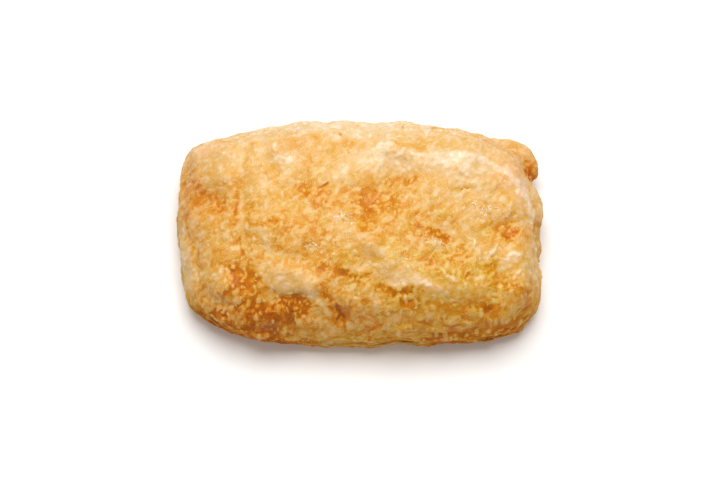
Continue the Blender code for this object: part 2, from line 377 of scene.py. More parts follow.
def between(tree, value, swing, share):  # turns a value from 0 to 1 into one that swings about nought
    centred = times(tree, value, swing, -swing / 2)
    return times(tree, centred, share)


def lessBrown(tree, browning, mask, share):  # takes a share of the browning away where the mask is
    taken = times(tree, mask, -share)
    return times(tree, taken, browning, browning)


def fieldNode(tree, name):
    node = tree.nodes.new("ShaderNodeAttribute")
    node.attribute_name = name
    return node.outputs["Fac"]


def newMaterial(name):
    material = bpy.data.materials.new(name)
    material.use_nodes = True
    return material, material.node_tree, material.node_tree.nodes["Principled BSDF"]


def bakeDough(tree, shader, browning, height, look, **tints):  # colour, gloss, soft light and bump
    colour = placeGroup(tree, bakedColour, Browning=browning, Blush=fieldNode(tree, "blush"), **tints)
    tree.links.new(colour.outputs["Color"], shader.inputs["Base Color"])
    shader.inputs["Specular IOR Level"].default_value = look["specular"]
    shader.inputs["Subsurface Weight"].default_value = look["scatter"]
    shader.inputs["Subsurface Radius"].default_value = look["scatterRadius"]
    shader.inputs["Subsurface Scale"].default_value = look["scatterDepth"] * mm
    bump = tree.nodes.new("ShaderNodeBump")
    bump.inputs["Strength"].default_value = look["bump"]
    bump.inputs["Distance"].default_value = look["bumpDepth"] * mm
    tree.links.new(height, bump.inputs["Height"])
    tree.links.new(bump.outputs["Normal"], shader.inputs["Normal"])


# The crust: a dense copy of the parcel with wrinkles, blisters, layers and cracks raised on it

crust = {
    "voxel": 0.645,  # mm, size of its mesh
    "smoothing": 20,  # rounds that take the facets away
    "footLevel": 0.35,  # mm, below this it is the flat underside
    "wrinkle": 0.20,  # mm, as all sizes down to the layers
    "wrinkleLength": 10.0,
    "wrinkleWidth": 3.6,
    "wrinkleTurn": 38,  # degrees
    "skinLift": 0.10,
    "lumps": [(5.0, 5.0, 0.12), (2.4, 2.4, 0.03)],  # size, shift of the noise, depth
    "foldLumps": [(2.6, 2.2, 0.45), (1.5, 6.6, 0.18)],
    "strokeSpacing": 4.6,
    "strokeShare": 0.34,  # of the cells have one
    "strokeStep": 0.45,
    "strokeWidth": 0.5,
    "strokeRise": 0.25,
    "layerPitch": 2.6,
    "layerDepth": 0.30,
    "layerProud": 0.60,
    "layerTop": 17,
    "browning": 0.595,
    "browningPatches": [(7.0, 7.0, 0.13), (3.4, 3.0, 0.07)],  # size, shift of the noise, swing
    "browningToBack": -0.0026,  # per mm
    "browningInHollowsAndShade": -0.20,  # per mm that it stands out; browner in hollows and paler on crests, as pooled glaze and as painted shade and light
    "browningInGaps": 0.2,
    "browningOfSkin": -0.06,
    "browningOfEdges": 0.19,
    "browningOfCreases": -0.36,
    # paler along raised creases: the skin's pale tone and a painted highlight
    "browningOfCracks": 0.4,
    "browningOfPaintedShade": (0.03, 0.16),  # painted shade on slopes to the front: where it is brown, and where it is pale
    "palest": (0.12, 0.40),  # on the top, and on slopes to the front, where the higher floor is painted warm shade
    "brownest": 0.96,
    "browningUnderneath": 0.62,
    "blisterPaleness": (0.14, 0.56),  # on pale dough, and on brown
    "blushOnWalls": 0.05,
    # redder on slopes to the front: painted warm shade
    "blushOfPaintedShade": 0.18,
    "mottle": 0.12,  # how much of each effect shows in the colour
    # cream patches: the dough's own pale tone and a painted sheen of the glaze
    "creamSheen": 0.44,
    # the painted sheen of the cream patches is weaker on shaded slopes to the front
    "creamInPaintedShade": -0.45,
    "fine": 0.34,
    # glitter patches get more fine specks: dark pits and painted glints
    "fineInGlitter": 2.8,
    "grainInPools": -0.75,  # pools of glaze are clear and smooth
    "vein": 0.45,
    "raised": (-0.85, 0.15),
    "line": 0.34,
    # near-white blister tips: painted glints
    "glintTip": 0.97,
    "linePitch": 1.3,  # mm
    "roughness": (0.22, 0.40),
    "roughnessOfTips": -0.12,
    "specular": 0.22,
    "specularTint": (1.0, 0.88, 0.70, 1),
    "scatter": 0.5,
    "scatterRadius": (1.0, 0.30, 0.08),
    "scatterDepth": 1.8,  # mm
    "bump": 0.85,
    "bumpDepth": 0.4,  # mm
    "bumpParts": (0.6, 0.22, 0.4, -0.9),  # blister caps, veins, tips, lines
}

# Zones of the crust seen from above: x, y, half length, half width, turn, browning, blush
crustZones = [
    (-62, 10, 8, 4, -30, 0.16, 0.7),  # hollow of the left end
    (-72, 13, 6, 7, 0, 0.13, 0.9),
    (-66, 4, 9, 4, 0, 0.1, 0.3),
    (-73, -6, 3.5, 7, 0, 0.1, 0.2),
    # paler left end wall: painted light on it
    (-78, -4, 3, 7, 0, -0.28, 0),
    (-75, 21, 3.5, 8, 0, 0.14, 0.3),
    (-64, 0, 16, 36, 0, 0.06, 0.12),
    (-53, -25, 6, 4, -30, 0.22, 0),  # amber hollows of the front left
    (-46, -23, 6, 3.5, -35, 0.26, 0),
    (-55, -29, 5, 3, 0, 0.24, 0.2),
    (-45, -29, 5, 3, -30, 0.08, 0),
    (-47, -37, 6, 4.5, -10, 0.26, 0.1),
    (-38, -32, 4, 3.5, 0, -0.26, 0),
    (-33, -29, 7, 3.5, -12, -0.14, 0),
    (-29, -36, 10, 4.5, -3, 0.58, 0),  # pool under the puff
    (-42, -41.5, 9, 4, -5, 0.26, 0.15),
    (-60, -42, 14, 6, -26, 0.44, 0.7),  # the browned front left corner
    (-40, -49, 16, 5, -8, 0.44, 0.8),
    (-11.5, -36, 6, 3, -70, 0.18, 0),  # gully of the front wall
    (-10, -46, 5, 7, 0, -0.12, 0),
    (-5, -40, 6, 4, 0, 0.2, 0.2),
    (5, -37, 6, 3, 0, -0.1, 0),
    (-4, -23.5, 6, 2.4, -20, 0.24, 0),
    (-15, -19.5, 3.5, 8, 0, 0.14, 0.1),
    (14.5, -31, 7.5, 2.6, -3, 0.3, 0),
    (20, -35, 6, 3, 0, 0.12, 0.1),  # groove under the ridges
    (44, -36, 19, 3.2, -1, 0.08, 0),
    (65, -36, 4, 4, 0, -0.22, 0),
    (48, -47, 26, 4, 0, 0.02, 0.1),
    (72, -32, 5, 7, 20, 0.26, 0.8),
    (64, -43, 9, 4, 20, 0.22, 0.8),
    (58, -36, 5, 3, 0, 0.18, 0.3),
    (44, -48, 20, 3.5, 0, 0.18, 0.7),
    (6, -45, 8, 3, 0, 0.12, 0.2),
    (-62, -8, 6, 14, 0, -0.08, 0),
    (76, -22, 4, 20, 0, -0.24, 0),
    (-77, -8, 5, 12, 0, -0.06, 0),
    (37, -8.5, 5, 3.5, 0, 0.02, 0),
    (42, -17, 4, 3, -45, 0.1, 0),
    (57, -21, 3.5, 7, 15, 0.1, 0),
    (62.5, -4.5, 4, 4, 0, 0.28, 0.2),  # dent near the right end
    (68.5, -4.5, 2.5, 3, 0, 0.16, 0.1),
    (29, -4, 9, 5, -20, 0.14, 0),
    (-25, 12, 6, 4, -40, 0.32, 0.3),
    (-32, -1, 5, 4, 0, 0.24, 0.1),
    (-10, 38, 9, 3, 0, -0.14, 0),
    (-15, 9.5, 5, 3, 0, 0.12, 0.3),  # dents of the middle
    (-36, -3, 8, 2.5, -15, 0.14, 0),
    (-36, -19.5, 8, 3, -12, 0.08, 0),
    (-14, -20, 5, 6, 0, 0.12, 0),
    (0, -22, 5, 3, -20, 0.06, 0),
    (3, -3, 5, 5, 0, 0.12, 0),
    (5, -12, 4, 3, 0, 0.12, 0.2),
    (66, -8, 4, 6, 0, 0.32, 0.2),
    (61, -28, 5, 4, 0, 0.2, 0.1),
    (-51, 4, 4, 4, 0, 0.1, 0.3),
    # browner middle dent, partly painted shade
    (10, 10, 12, 8, 10, 0.2, 0),
    (24, 17, 9, 4, 0, 0.18, 0.2),
    (4, -6, 6, 5, 0, 0.14, 0.1),
    (28, -6, 14, 8, 0, 0.06, 0),
    (0, 6, 8, 5, 10, 0.12, 0.1),
    (40, -23, 12, 3, -10, 0.14, 0),
    (-12, 7, 7, 6, 0, 0.2, 0.1),
    (-24, -20, 7, 4, 0, 0.16, 0.1),
    (-52, -24, 14, 4, -35, 0.12, 0.1),
    (-38, -38, 4, 4, 0, 0.1, 0.5),
    (-27, 34, 8, 7, 0, 0.04, 0.4),
    (72, 20, 3, 3, 0, 0.2, 0),  # notch beside the fold
    (2.5, 4, 4, 6, 0, 0.1, 0.1),
    (57, 10, 5, 3, 0, -0.06, 0),
    (45, 3, 7, 4, 0, -0.08, 0),
    (77, 29, 6, 8, 0, 0.14, 0.7),  # the fold at the back right corner
    (74.5, 24.5, 4, 4, 0, 0.48, 0.5),
    (58, 37, 14, 5, -15, 0.06, 0.4),
    (-10, 20, 5, 3, 0, -0.22, 0),  # pale crests with browner patches between them
    (3, 27.5, 10, 5, 25, -0.24, 0),
    (-3, 32, 9, 3, 0, 0.08, 0.2),
    (26, 31.5, 12, 3, 0, 0.12, 0.2),
    (13, 25.5, 12, 5, -6, -0.24, 0),
    (5, 22, 5, 4, 0, -0.14, 0),
    (42, 22.5, 18, 8, -6, -0.34, 0.1),
    (-1, -12, 7, 5, 0, -0.16, 0.1),
    (36, -29, 16, 3.5, -4, -0.1, 0),
    (64, 20, 7, 6, -20, -0.08, 0.6),
    (76, 1, 4, 6, 0, 0.18, 0.5),
    (68, 26, 6, 6, 0, 0, 0.5),
    (40, -46, 14, 5, 0, 0.1, 0),
    (43, 8.5, 5, 3, 0, -0.14, 0),
    (-8, -2, 4, 6, 20, -0.2, 0),
    (11, -19.5, 13, 5, -38, -0.22, 0),
    (-29, -24.5, 12, 4.5, -10, -0.36, 0.1),  # puff, paler: its own pale tone and painted light on its front slope
    (-18, -36, 8, 3.5, -62, -0.34, 0),
    (49, -12, 3, 7, 10, -0.16, 0),
    (65.5, -19, 4, 7, 15, -0.22, 0),
    (71.5, -5, 3, 10, 0, -0.2, 0.3),
    (23, -26.5, 6, 3, -20, -0.18, 0),
    (13, -42, 9, 3, 0, -0.12, 0),
    (-61, -23, 6, 5, 0, -0.14, 0),
    (-69, 33, 9, 6, 25, -0.12, 0.5),
    (0, 44, 62, 7, 0, -0.26, 0),
    (-76, -22, 5, 12, 0, -0.32, 0),
    (-42.5, 13, 6, 5, 0, -0.12, 0),
    (-30, 26, 5, 4.5, 0, -0.2, 0),
    (70, 12, 4, 10, 15, -0.14, 0.3),
    (76, 18, 3, 7, 0, -0.22, 0),
    (34, 23, 6, 3, -10, -0.12, 0),
    (15, 29, 5, 3, 0, -0.12, 0),
    (-50, 28, 14, 6, 0, -0.14, 0),
    (-62, 17, 5, 6, 0, -0.1, 0),
]
ochreZones = [  # seen from above: x, y, half length, half width, turn, strength
    (40, -28, 30, 10, -8, 0.5),
    (14, -32, 12, 6, 0, 0.4),
    (60, -15, 10, 10, 0, 0.15),
    (44, -47, 40, 6, 0, 0.4),
    (-60, 5, 30, 40, 0, -0.6),
    (75, 28, 12, 12, 0, -0.6),
    (10, 10, 14, 10, 0, -0.2),
]
glitterPlaces = [  # the same for patches of curled scales
    (53, 4, 9, 4.5, -15, 1),
    (-7, 1, 5, 4.5, 0, 0.8),
    (31, -10.5, 5, 2.6, -20, 0.9),
    (-19, -12, 4.5, 2.6, -10, 0.9),
    (17, -17, 3, 3, 0, 0.7),
    (-2, 15, 3, 3, 0, 0.4),
]
foldZones = [(78, 28, 8, 9, 0, 1)]  # lumps of the fold
layeredZones = [(-60, -42, 16, 7, -25, 0.7), (-38, -47, 16, 4, -6, 0.5)]  # lines on the left corner

crustSwells = [  # seen from above: x, y, half length, half width, turn, rise in mm
    (-30.5, -29.3, 12, 3.2, -6, 0.8),  # the puff comes further forward than on the solid
    (-29, -17.5, 12, 3.6, -14, -0.9),
    (37, -31.5, 22, 4, -3, 1.2),
    (12, 31, 10, 4, -8, 0.7),
    (4, 8, 18, 9, -10, -1.1),
    (64, -5, 5, 5, 0, 0.5),
    (59, -26, 5, 5, 0, -0.7),
    (-60, 6, 10, 4.5, -10, -0.8),
    (-55, -23, 8, 4, -25, -0.8),
]
wallSwells = [  # the same on the walls
    (-60, -46, 16, 9, -25, 1.9),
    (-40, -50, 14, 6, -8, 0.8),
    (35, -51, 10, 6, 0, -1.8),
    (80, -20, 5, 9, 0, -1.4),
]
skinEdges = [  # torn edges of the upper skin, which stands proud to the left: rise, reach, line
    (0.4, 8, [
        (-44, -20.5), (-41.5, -25), (-37, -29), (-32, -31), (-27, -30.3), (-23, -29.8), (-20, -33),
        (-16, -37), (-11, -42),
    ]),
    (0.25, 5, [(8.5, -27.5), (13.5, -29), (18.5, -28.7), (23, -27.3), (31, -29)]),
    (0.35, 4, [(-8, -20.5), (-4, -22.5), (0.5, -23.3), (4.5, -22)]),
    (0.2, 4, [(22, -1.5), (29.5, -3.6), (36.5, -6), (41.5, -8)]),
    (0.08, 4, [(-50.5, 15), (-51.5, 7), (-51, -2), (-49.5, -10.5), (-49.5, -18)]),
]
paleStrokes = [  # narrow raised creases: width, rise, line
    (0.6, 0.35, [(33, -20.5), (35, -23), (37.5, -25.5), (40.5, -27)]),
    (0.5, 0.3, [(42, -25), (46, -22)]),
    (0.5, 0.3, [(42.5, -26), (45, -29.5)]),
    (0.8, 0.4, [(53, -17), (55.5, -13), (58, -10.5)]),
    (0.9, 0.5, [(61.5, -18.5), (63, -15.5), (65, -14.5), (68, -15)]),
    (0.6, 0.35, [(67.5, -21), (66, -24), (65, -27)]),
    (0.7, 0.3, [(45, -7), (47.5, -9), (48.5, -12)]),
    (1.2, 0.35, [
        (29, 26.5), (36, 28.5), (42.5, 29.2), (50.8, 27.2), (58.5, 23.3), (64.3, 20.7), (68.1, 14.2),
        (70.7, 11), (73.9, 5.8), (74.5, 0),
    ]),
    (0.8, 0.3, [(74, -7), (75.5, -10.5)]),
    (0.5, 0.3, [(65, 2.5), (68, 3)]),
    (0.5, 0.35, [(28.5, 2), (34, 3)]),
    (0.6, 0.3, [(55.5, -30), (59.5, -32)]),
    (0.6, 0.3, [(24.5, -27), (31, -28)]),
    (0.6, 0.25, [(-36, 34), (-37, 32.7), (-36.3, 31), (-34.5, 30.5)]),
    (1.1, 0.2, [(-36.5, 28), (-33.5, 27), (-30.5, 26), (-28, 27)]),
    (0.7, 0.25, [(2.5, 27.5), (6.5, 31), (9.5, 32.5)]),
    (0.6, 0.25, [(10.5, 29.5), (11.5, 31.5), (14, 32.5), (16, 31)]),
    (0.6, 0.25, [(14.5, 35), (16, 37), (18, 37.5)]),
    (0.9, 0.25, [(24, 26.7), (26.5, 27.5), (32, 26.3)]),
    (0.6, 0.3, [(-13, 15.3), (-16.3, 15)]),
    (1.3, 0.3, [(14, -41.2), (16, -41.4)]),
    (1.2, 0.3, [(29.5, -40.2), (31.5, -40)]),
    (1.0, 0.35, [(37.5, -42), (41.5, -41.2)]),
    (1.0, 0.3, [(45.5, -43), (47.5, -43)]),
    (1.2, 0.3, [(6, -36), (9, -38)]),
]
darkCracks = [  # width, depth, line
    (0.35, 0.35, [(-18.3, 13.4), (-16.3, 14.2), (-13.2, 14.6)]),
    (0.6, 0.6, [(-10.2, 37.8), (-8.5, 38.2), (-7, 37.9)]),
    (0.3, 0.2, [(-5, 33), (-4.7, 28)]),
    (0.35, 0.35, [(40.5, 13), (43.5, 13), (45.5, 14), (48.5, 14.6)]),
]


def alongLine(points, line):  # distance from a line, its side, and a share that fades at both ends
    best = np.full(len(points), 1e9)
    side = np.zeros(len(points))
    place = np.zeros(len(points))
    lengths = [math.dist(start, end) for start, end in zip(line, line[1:])]
    for index, (start, end) in enumerate(zip(line, line[1:])):
        step = np.subtract(end, start)
        away = points[:, :2] - start
        share = np.clip(away @ step / (step @ step), 0, 1)
        gap = away - share[:, None] * step
        distance = np.linalg.norm(gap, axis=1)
        nearer = distance < best
        best[nearer] = distance[nearer]
        side[nearer] = np.sign(step[0] * gap[:, 1] - step[1] * gap[:, 0])[nearer]
        place[nearer] = (sum(lengths[:index]) + share * lengths[index])[nearer] / sum(lengths)
    return best, side, smoothStep(0, 0.16, place) * smoothStep(1, 0.84, place)


def skinFeatures(points, ragged):  # lift and browning of the edges, creases and cracks
    lift = np.zeros(len(points))
    browning = np.zeros(len(points))
    for rise, reach, line in skinEdges:
        distance, side, share = alongLine(ragged, line)
        away = distance * side
        lift += rise * share * smoothStep(-1.3, 0.9, away) * np.exp(-np.maximum(away, 0) / reach)
        # browner just below each edge: painted shade under the lifted skin
        under = np.exp(-(((away + 1.3) / 1.2) ** 2))
        crest = np.exp(-(((away - 1.2) / 1.5) ** 2))
        browning += crust["browningOfEdges"] * share * (under - 1.4 * crest)
    for width, rise, line in paleStrokes:
        distance, _, share = alongLine(ragged, line)
        crest = np.exp(-((distance / width) ** 2)) * (0.4 + 0.6 * share)
        lift += rise * crest
        # paler along the crest: the skin's pale tone and a painted highlight
        browning += crust["browningOfCreases"] * crest
    for width, depth, line in darkCracks:
        distance, _, share = alongLine(ragged, line)
        crack = np.exp(-((distance / width) ** 2)) * (0.4 + 0.6 * share)
        lift -= depth * crack
        browning += crust["browningOfCracks"] * crack
    top = smoothStep(14, 20, points[:, 2])
    return lift * top, browning * top


def randomStrokes(points, tree):  # short creases that run with the wrinkles, at random
    crest = np.zeros(len(points))
    spots, cells = scatterSpots(points, crust["strokeSpacing"], 77)
    wanted = (cellChance(cells, 81) < crust["strokeShare"]) & (points[spots, 2] > 12)
    for spot, part, turn in drawn(spots, cells, wanted, (82, 83)):
        bearing = math.radians(crust["wrinkleTurn"] + (turn - 0.5) * 150)
        bend = (cellChance(cells[:1] + spot, 84)[0] - 0.5) * 0.5
        place = points[spot].copy()
        for _ in range(int(4 + part * 9)):
            place[:2] += crust["strokeStep"] * np.array([math.cos(bearing), math.sin(bearing)])
            bearing += bend
            _, nearest, _ = tree.find(place.tolist())
            place[2] = points[nearest, 2]
            for _, index, distance in tree.find_range(place.tolist(), 1.2):
                here = math.exp(-((distance / crust["strokeWidth"]) ** 2)) * (0.5 + 0.5 * part)
                crest[index] = max(crest[index], here)
    return crest


def denseParcel():
    start = placeObject("crustStart", parcelNode.data.copy())
    weld = start.modifiers.new("weld", "WELD")
    weld.merge_threshold = 0.00001
    remesh = start.modifiers.new("remesh", "REMESH")
    remesh.mode = "VOXEL"
    remesh.voxel_size = crust["voxel"] * mm
    graph = bpy.context.evaluated_depsgraph_get()
    dense = bpy.data.meshes.new_from_object(start.evaluated_get(graph))
    bpy.data.objects.remove(start)
    bm = bmesh.new()
    bm.from_mesh(dense)
    low = crust["footLevel"] * mm
    under = [face for face in bm.faces if all(vert.co.z < low for vert in face.verts)]
    bmesh.ops.delete(bm, geom=under, context="FACES")
    rim = [edge for edge in bm.edges if edge.is_boundary]
    for edge in rim:
        for vert in edge.verts:
            vert.co.z = 0
    bmesh.ops.holes_fill(bm, edges=rim, sides=0)
    bmesh.ops.recalc_face_normals(bm, faces=bm.faces)
    bm.to_mesh(dense)
    bm.free()
    return dense


def smoothed(points, edges, rounds, held):  # each point goes half way to the middle of its neighbours
    count = np.bincount(edges.ravel(), minlength=len(points))[:, None]
    for _ in range(rounds):
        total = np.zeros_like(points)
        for axis in range(points.shape[1]):
            total[:, axis] += np.bincount(edges[:, 0], points[edges[:, 1], axis], len(points))
            total[:, axis] += np.bincount(edges[:, 1], points[edges[:, 0], axis], len(points))
        points = np.where(held, points, (points + total / count) / 2)
    return points


def turnedAbout(points, degrees, sizeAlong, sizeAcross):  # stretched and turned about the upright
    turned = math.radians(degrees)
    along = points[:, 0] * math.cos(turned) + points[:, 1] * math.sin(turned)
    across = points[:, 1] * math.cos(turned) - points[:, 0] * math.sin(turned)
    return np.stack([along / sizeAlong, across / sizeAcross, points[:, 2] / sizeAcross], axis=1)


def warped(points, size, reach, shift):  # points pushed about, so that what follows has ragged edges
    push = [pointNoise(points, size, shift + 11.3 * axis) for axis in range(3)]
    return points + np.stack(push, axis=1) * reach


def wallLayers(points, wall):  # lift of the layers on the walls, their gaps, and where they are
    wander = pointNoise(points, 26, 3.1) * 4.5 + pointNoise(points, 7, 8.2) * 0.9
    level = (points[:, 2] + wander) / crust["layerPitch"]
    index = np.floor(level)
    part = level - index
    sheets = np.stack([points[:, 0] / 11, points[:, 1] / 11, index * 3.7], axis=1)
    proud = pointNoise(sheets, 1.0, 5.5) * crust["layerProud"]
    gap = np.exp(-((np.minimum(part, 1 - part) / 0.16) ** 2)) * crust["layerDepth"]
    patch = 0.35 + 0.65 * smoothStep(-0.25, 0.25, pointNoise(points, 16, 1.7))
    low = 1 - smoothStep(crust["layerTop"] - 6, crust["layerTop"] + 6, points[:, 2] + wander)
    mask = wall * patch * low
    return (proud - gap * 0.8) * mask, gap / crust["layerDepth"] * mask, mask


blisters = [  # spacing of the cells, share of them that holds one, radius, rise over radius
    {"spacing": 5.5, "share": 0.22, "radius": (1.2, 2.3), "rise": 0.18, "salt": 21},
    {"spacing": 2.6, "share": 0.20, "radius": (0.8, 1.2), "rise": 0.30, "salt": 47},
]
blisterDensity = [  # x, y, half length, half width, turn, more or fewer
    (-60, 0, 26, 45, 0, 0.5),
    (-35, -34, 30, 12, 0, 0.6),
    (-56, -42, 20, 8, -20, 1.2),
    (-12, 26, 9, 6, 0, -0.9),
    (30, 30, 50, 14, 0, -0.2),
]


def raiseBlisters(points, normals, tree):
    lift = np.zeros(len(points))
    cap = np.zeros(len(points))
    downhill = unit(np.array([0, 0, -1.0]) - normals * -normals[:, 2:3])
    steep = 1 - smoothStep(0.60, 0.97, normals[:, 2])
    for kind in blisters:
        spots, cells = scatterSpots(points, kind["spacing"], kind["salt"])
        share = kind["share"] * (1 + zoneSum(points[spots], blisterDensity))
        wanted = (cellChance(cells, kind["salt"] + 5) < share) & (points[spots, 2] > 3)
        for spot, part in drawn(spots, cells, wanted, (kind["salt"] + 6,)):
            radius = within(kind["radius"], part**2)
            stretch = 1 + 1.3 * steep[spot]
            found = tree.find_range(points[spot].tolist(), radius * stretch)
            near = np.array([index for _, index, _ in found])
            away = points[near] - points[spot]
            along = away @ downhill[spot]
            rest = np.maximum((away**2).sum(axis=1) - along**2, 0)
            inside = np.clip(1 - (along / stretch) ** 2 / radius**2 - rest / radius**2, 0, 1)
            lift[near] = np.maximum(lift[near], np.sqrt(inside) * radius * kind["rise"])
            cap[near] = np.maximum(cap[near], smoothStep(0.1, 0.8, inside) * (0.35 + 0.65 * (1 - part)))
    return lift, cap


def crustRelief(points, normals, wall, moved):  # its height over the parcel, and masks for its colour
    creased = turnedAbout(moved, crust["wrinkleTurn"], crust["wrinkleLength"], crust["wrinkleWidth"])
    ridges = 1 - 2.6 * np.abs(pointNoise(creased, 1.0, 4.0))
    patch = smoothStep(-0.3, 0.4, pointNoise(points, 18, 6.0))
    relief = ridges * crust["wrinkle"] * (0.25 + 0.75 * patch)
    skin = smoothStep(-0.04, 0.06, pointNoise(warped(points, 5, 3.0, 3.0), 9, 8.0))  # lifted skin
    relief += skin * crust["skinLift"] + noiseSum(moved, crust["lumps"])
    fold = smoothStep(0.15, 0.6, zoneSum(points, foldZones))
    relief += fold * noiseSum(points, crust["foldLumps"])
    swells = zoneSum(points, crustSwells) * (1 - wall) + zoneSum(points, wallSwells) * wall
    lineMoved = warped(warped(points, 4.5, 1.6, 2.0), 1.8, 1.0, 4.0)
    featureLift, featureBrowning = skinFeatures(points, lineMoved)
    layers, gaps, layered = wallLayers(points, wall)
    relief = relief * (1 - 0.5 * layered) + layers + swells + featureLift
    tree = pointTree(points)
    lift, cap = raiseBlisters(points, normals, tree)
    strokes = randomStrokes(points, tree)
    relief += lift * (1 - 0.6 * layered) + strokes * crust["strokeRise"]
    return relief, (skin, featureBrowning, gaps, layered, np.maximum(cap, strokes * 0.8))


def storeCrustFields(mesh, points, wall, foot, moved, standing, masks):
    skin, featureBrowning, gaps, layered, paler = masks
    edgesMoved = warped(warped(points, 7, 3.0, 9.0), 2.6, 1.0, 1.0)
    shadedFront = smoothStep(0.1, 0.7, -meshNormals(mesh)[:, 1]) * (1 - wall)  # slopes to the front, away from the key light, whose colour is painted shade
    browning = crust["browning"] + crust["browningToBack"] * points[:, 1]
    browning += zoneSum(edgesMoved, crustZones) + featureBrowning
    # browner in hollows and paler on crests: pooled glaze, with painted shade and light
    browning += np.clip(standing * crust["browningInHollowsAndShade"], -0.25, 0.25)
    browning += noiseSum(moved, crust["browningPatches"])
    paintedShade = within(crust["browningOfPaintedShade"], smoothStep(0.5, 0.2, browning))
    # browner on slopes to the front: painted shade
    browning += (skin - 0.5) * crust["browningOfSkin"] + shadedFront * paintedShade
    pool = smoothStep(0.76, 0.92, browning) * (1 - layered)
    paleness = within(crust["blisterPaleness"], smoothStep(0.55, 0.95, browning))
    browning += gaps * crust["browningInGaps"] - paler * paleness
    browning[foot] = crust["browningUnderneath"]
    # a higher floor of browning on slopes to the front: painted warm shade
    palest = within(crust["palest"], shadedFront)
    blush = zoneSum(edgesMoved, crustZones, column=6)
    # redder on slopes to the front: painted warm shade
    blush += wall * crust["blushOnWalls"] + shadedFront * crust["blushOfPaintedShade"]
    ochre = zoneSum(edgesMoved, ochreZones) + pointNoise(moved, 9.0, 3.3) * 0.5
    glitter = zoneSum(edgesMoved, glitterPlaces) + pointNoise(points, 2.0, 5.0) * 0.6
    patchy = 0.5 + smoothStep(-0.4, 0.4, pointNoise(points, 12, 4.4))
    storeFields(
        mesh,
        browning=np.clip(browning, palest, crust["brownest"]),
        blush=np.clip(blush, 0, 1),
        ochre=smoothStep(-0.1, 0.5, ochre) * smoothStep(0.35, 0.7, browning),
        pool=pool * (1 - paler),
        shaded=shadedFront,
        glitter=smoothStep(0.1, 1.1, glitter),
        layered=np.maximum(np.maximum(layered, wall * 0.25), zoneSum(points, layeredZones)),
        dry=smoothStep(0.2, 0.9, wall),
        blistered=np.clip(0.65 * (1 + zoneSum(points, blisterDensity)) * patchy, 0, 1),
    )


def crustShape():
    mesh = denseParcel()
    points = meshPoints(mesh)
    edges = meshArray(mesh.edges, "vertices", 2, np.int32)
    foot = points[:, 2] < 0.01
    points = smoothed(points, edges, crust["smoothing"], foot[:, None])
    setMeshPoints(mesh, points)
    normals = meshNormals(mesh)
    wall = 1 - smoothStep(0.25, 0.75, normals[:, 2])
    moved = warped(points, 8, 2.4, 2.0)
    relief, masks = crustRelief(points, normals, wall, moved)

    sideways = normals.copy()
    sideways[foot, 2] = 0
    sideways[foot] = unit(sideways[foot])
    shaped = points + sideways * relief[:, None]
    shaped[~foot, 2] = np.maximum(shaped[~foot, 2], 0.12)
    setMeshPoints(mesh, shaped)
    flowing = smoothed(shaped, edges, 24, foot[:, None])
    standing = ((shaped - flowing) * normals).sum(axis=1)  # crests stand out, hollows lie back
    storeCrustFields(mesh, points, wall, foot, moved, standing, masks)
    return mesh


def crustBrowning(tree, rough, grain, cap, glintTip, vein, lines):
    mottle = between(tree, grain.outputs["Mottle"], crust["mottle"], rough)
    browning = mathNode(tree, "ADD", fieldNode(tree, "browning"), mottle)
    # the painted sheen of the cream patches is weaker on slopes to the front
    lit = times(tree, fieldNode(tree, "shaded"), crust["creamInPaintedShade"], rough)
    creamSheen = times(tree, grain.outputs["CreamSheen"], lit)
    browning = lessBrown(tree, browning, creamSheen, crust["creamSheen"])
    # the fine specks, dark pits and painted glints, are stronger in glitter patches
    glitter = times(tree, fieldNode(tree, "glitter"), crust["fineInGlitter"], rough)
    fine = times(tree, grain.outputs["Fine"], glitter)
    swing = times(tree, browning, crust["fine"])
    browning = times(tree, fine, swing, browning)
    raised = mathNode(tree, "MAXIMUM", cap, times(tree, vein, crust["vein"]))
    paler = times(tree, browning, *crust["raised"])
    browning = times(tree, raised, paler, browning)
    browning = times(tree, lines, crust["line"], browning, clamp=True)
    # near-white at the blister tips: painted glints
    return lessBrown(tree, browning, glintTip, crust["glintTip"])


def glazedCrustMaterial():
    material, tree, shader = newMaterial("glazedCrust")
    rough = times(tree, fieldNode(tree, "pool"), crust["grainInPools"], 1)
    grain = placeGroup(tree, doughGrain)
    blistered = placeGroup(tree, fineBlisters, Density=fieldNode(tree, "blistered"))
    cap = blistered.outputs["Cap"]
    glintTip = blistered.outputs["GlintTip"]
    vein = times(tree, placeGroup(tree, skinVeins).outputs["Vein"], rough)
    lines = placeGroup(tree, layerLines, Pitch=crust["linePitch"]).outputs["Line"]
    lines = times(tree, lines, fieldNode(tree, "layered"))
    browning = crustBrowning(tree, rough, grain, cap, glintTip, vein, lines)
    roughness = spread(tree, grain.outputs["Mottle"], 0, 1, *crust["roughness"])
    roughness = times(tree, glintTip, crust["roughnessOfTips"], roughness)
    roughness = mathNode(tree, "MAXIMUM", roughness, fieldNode(tree, "dry"))  # the walls have no glaze
    tree.links.new(roughness, shader.inputs["Roughness"])
    shader.inputs["Specular Tint"].default_value = crust["specularTint"]
    height = times(tree, grain.outputs["Height"], rough)
    for mask, rise in zip([cap, vein, glintTip, lines], crust["bumpParts"]):
        height = times(tree, mask, rise, height)
    bakeDough(tree, shader, browning, height, crust, Ochre=fieldNode(tree, "ochre"))
    return material


def makeCrust():
    mesh = crustShape()
    mesh.name = "pastryCrust"
    mesh.materials.clear()
    mesh.materials.append(glazedCrustMaterial())
    mesh.shade_smooth()
    piece = placeObject("pastryCrust", mesh)
    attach(piece, "root")
    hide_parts("pastry_parcel")
    print("crust:", len(mesh.vertices), "points,", len(mesh.polygons), "faces")
    return piece


crustPiece = makeCrust()
crustTree = BVHTree.FromObject(crustPiece, bpy.context.evaluated_depsgraph_get())


# Thin bits that stand out of the crust share a builder and a drier material

